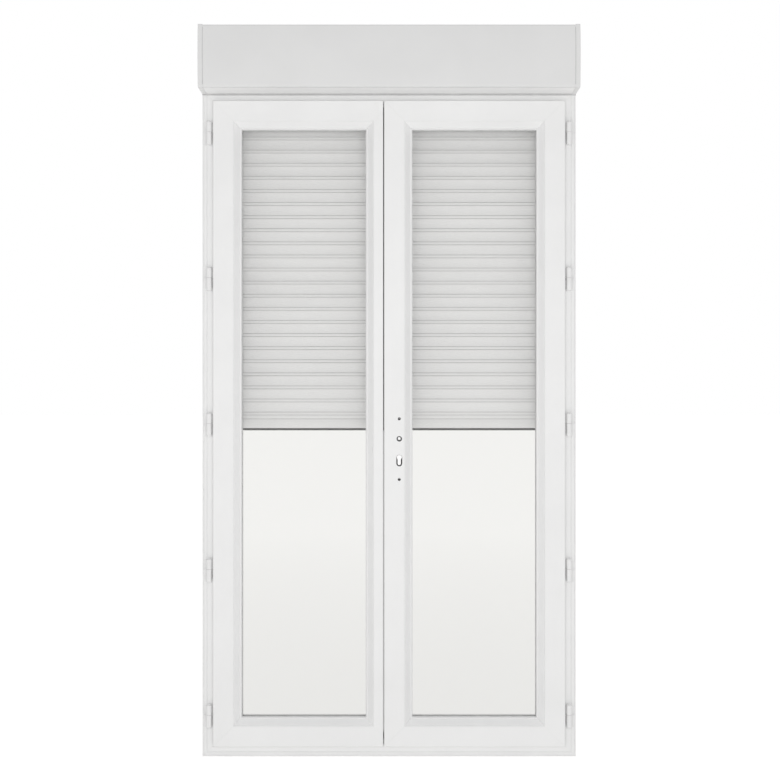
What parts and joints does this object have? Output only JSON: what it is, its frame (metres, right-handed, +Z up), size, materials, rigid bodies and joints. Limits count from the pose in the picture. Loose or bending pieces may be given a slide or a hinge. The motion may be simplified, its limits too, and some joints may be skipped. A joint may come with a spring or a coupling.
{
  "type": "french doors",
  "caption": "White two-leaf inward-opening glazed door in its frame, with a roller shutter in a box above, wound curtain on outdoor guides, lock rods and flush bolts.",
  "frame": {"origin": "middle of the frame's underside, under the middle of the shutter box's depth", "axes": "+Z up, +Y towards outdoors, +X to the right seen from the room"},
  "size_m": [1.205, 0.24, 2.337],
  "materials": {
    "white_pvc": "satin extruded PVC",
    "white_metal": "white powder coat",
    "glass": "clear float glass",
    "spacer_aluminium": "matt rolled",
    "grey_gasket": "soft matt",
    "black_rubber": "matt",
    "zinc_steel": "zinc plated",
    "grey_plastic": "moulded",
    "motor_metal": "satin",
    "shutter_pvc": "satin"
  },
  "bodies": {
    "frame": {"frame_jambs": "white_pvc", "frame_head_and_sill": "white_pvc", "frame_gasket": "grey_gasket", "left_guide_rail": "white_pvc", "right_guide_rail": "white_pvc", "guide_brush_seals": "black_rubber", "left_frame_knuckles": "white_metal", "right_frame_knuckles": "white_metal", "left_hinge_pins": "white_metal", "right_hinge_pins": "white_metal", "left_hinge_washers": "grey_plastic", "right_hinge_washers": "grey_plastic", "top_keep_plate": "zinc_steel", "bottom_keep_plate": "zinc_steel", "box_front_panel": "white_pvc", "box_top_panel": "white_pvc", "box_rear_panel": "white_pvc", "box_underside_cover": "white_pvc", "box_left_end_cap": "white_pvc", "box_right_end_cap": "white_pvc", "bearing_bracket": "zinc_steel", "tubular_motor": "motor_metal"},
    "left_leaf": {"left_sash_stiles": "white_pvc", "left_sash_rails": "white_pvc", "left_side_beads": "white_pvc", "left_end_beads": "white_pvc", "left_inner_pane": "glass", "left_spacer_bar": "spacer_aluminium", "left_outer_pane": "glass", "left_inner_glazing_gasket": "grey_gasket", "left_outer_glazing_gasket": "grey_gasket", "left_sash_gasket": "grey_gasket", "left_meeting_seal": "black_rubber", "left_leaf_knuckles": "white_metal"},
    "right_leaf": {"right_sash_stiles": "white_pvc", "right_sash_rails": "white_pvc", "right_side_beads": "white_pvc", "right_end_beads": "white_pvc", "right_inner_pane": "glass", "right_spacer_bar": "spacer_aluminium", "right_outer_pane": "glass", "right_inner_glazing_gasket": "grey_gasket", "right_outer_glazing_gasket": "grey_gasket", "right_sash_gasket": "grey_gasket", "right_meeting_seal": "black_rubber", "right_leaf_knuckles": "white_metal", "lock_case": "zinc_steel", "lock_faceplate": "zinc_steel"},
    "lock_follower": {"lock_follower": "zinc_steel"},
    "upper_drive_rod": {"upper_drive_rod": "zinc_steel"},
    "lower_drive_rod": {"lower_drive_rod": "zinc_steel"},
    "top_flush_bolt": {"top_flush_bolt": "zinc_steel"},
    "bottom_flush_bolt": {"bottom_flush_bolt": "zinc_steel"},
    "curtain": {"shutter_slats": "shutter_pvc", "shutter_bottom_bar": "shutter_pvc", "shutter_bottom_seal": "black_rubber"},
    "winder": {"winding_tube": "zinc_steel", "tube_idler": "grey_plastic", "motor_drive_wheel": "black_rubber", "shutter_roll": "shutter_pvc"}
  },
  "joints": [
    {"name": "left_leaf_swing", "type": "hinge", "parent": "frame", "child": "left_leaf", "pos_m": [-0.58, -0.015, 0], "axis": [0, 0, -1], "range_deg": [0, 100]},
    {"name": "right_leaf_swing", "type": "hinge", "parent": "frame", "child": "right_leaf", "pos_m": [0.58, -0.015, 0], "axis": [0, 0, 1], "range_deg": [0, 100]},
    {"name": "upper_rod_slide", "type": "slide", "parent": "right_leaf", "child": "upper_drive_rod", "axis": [0, 0, 1], "range_m": [0, 0.01649]},
    {"name": "lower_rod_slide", "type": "slide", "parent": "right_leaf", "child": "lower_drive_rod", "axis": [0, 0, -1], "range_m": [0, 0.0165]},
    {"name": "lock_turn", "type": "hinge", "parent": "right_leaf", "child": "lock_follower", "pos_m": [0.0327, 0.013, 1.026], "axis": [0, 1, 0], "range_deg": [0, 90]},
    {"name": "top_bolt_slide", "type": "slide", "parent": "left_leaf", "child": "top_flush_bolt", "axis": [0, 0, 1], "range_m": [0, 0.016]},
    {"name": "bottom_bolt_slide", "type": "slide", "parent": "left_leaf", "child": "bottom_flush_bolt", "axis": [0, 0, -1], "range_m": [0, 0.016]},
    {"name": "curtain_slide", "type": "slide", "parent": "frame", "child": "curtain", "axis": [0, 0, 1], "range_m": [-0.1, 0.06]},
    {"name": "winder_turn", "type": "hinge", "parent": "frame", "child": "winder", "pos_m": [0, 0.01103, 2.24], "axis": [1, 0, 0], "range_deg": [-84, 51]}
  ],
  "couplings": [
    {"joint": "lower_rod_slide", "follows": "upper_rod_slide", "ratio": 1},
    {"joint": "lock_turn", "follows": "upper_rod_slide", "rad_per_m": 95.238},
    {"joint": "winder_turn", "follows": "curtain_slide", "rad_per_m": 14.499}
  ]
}
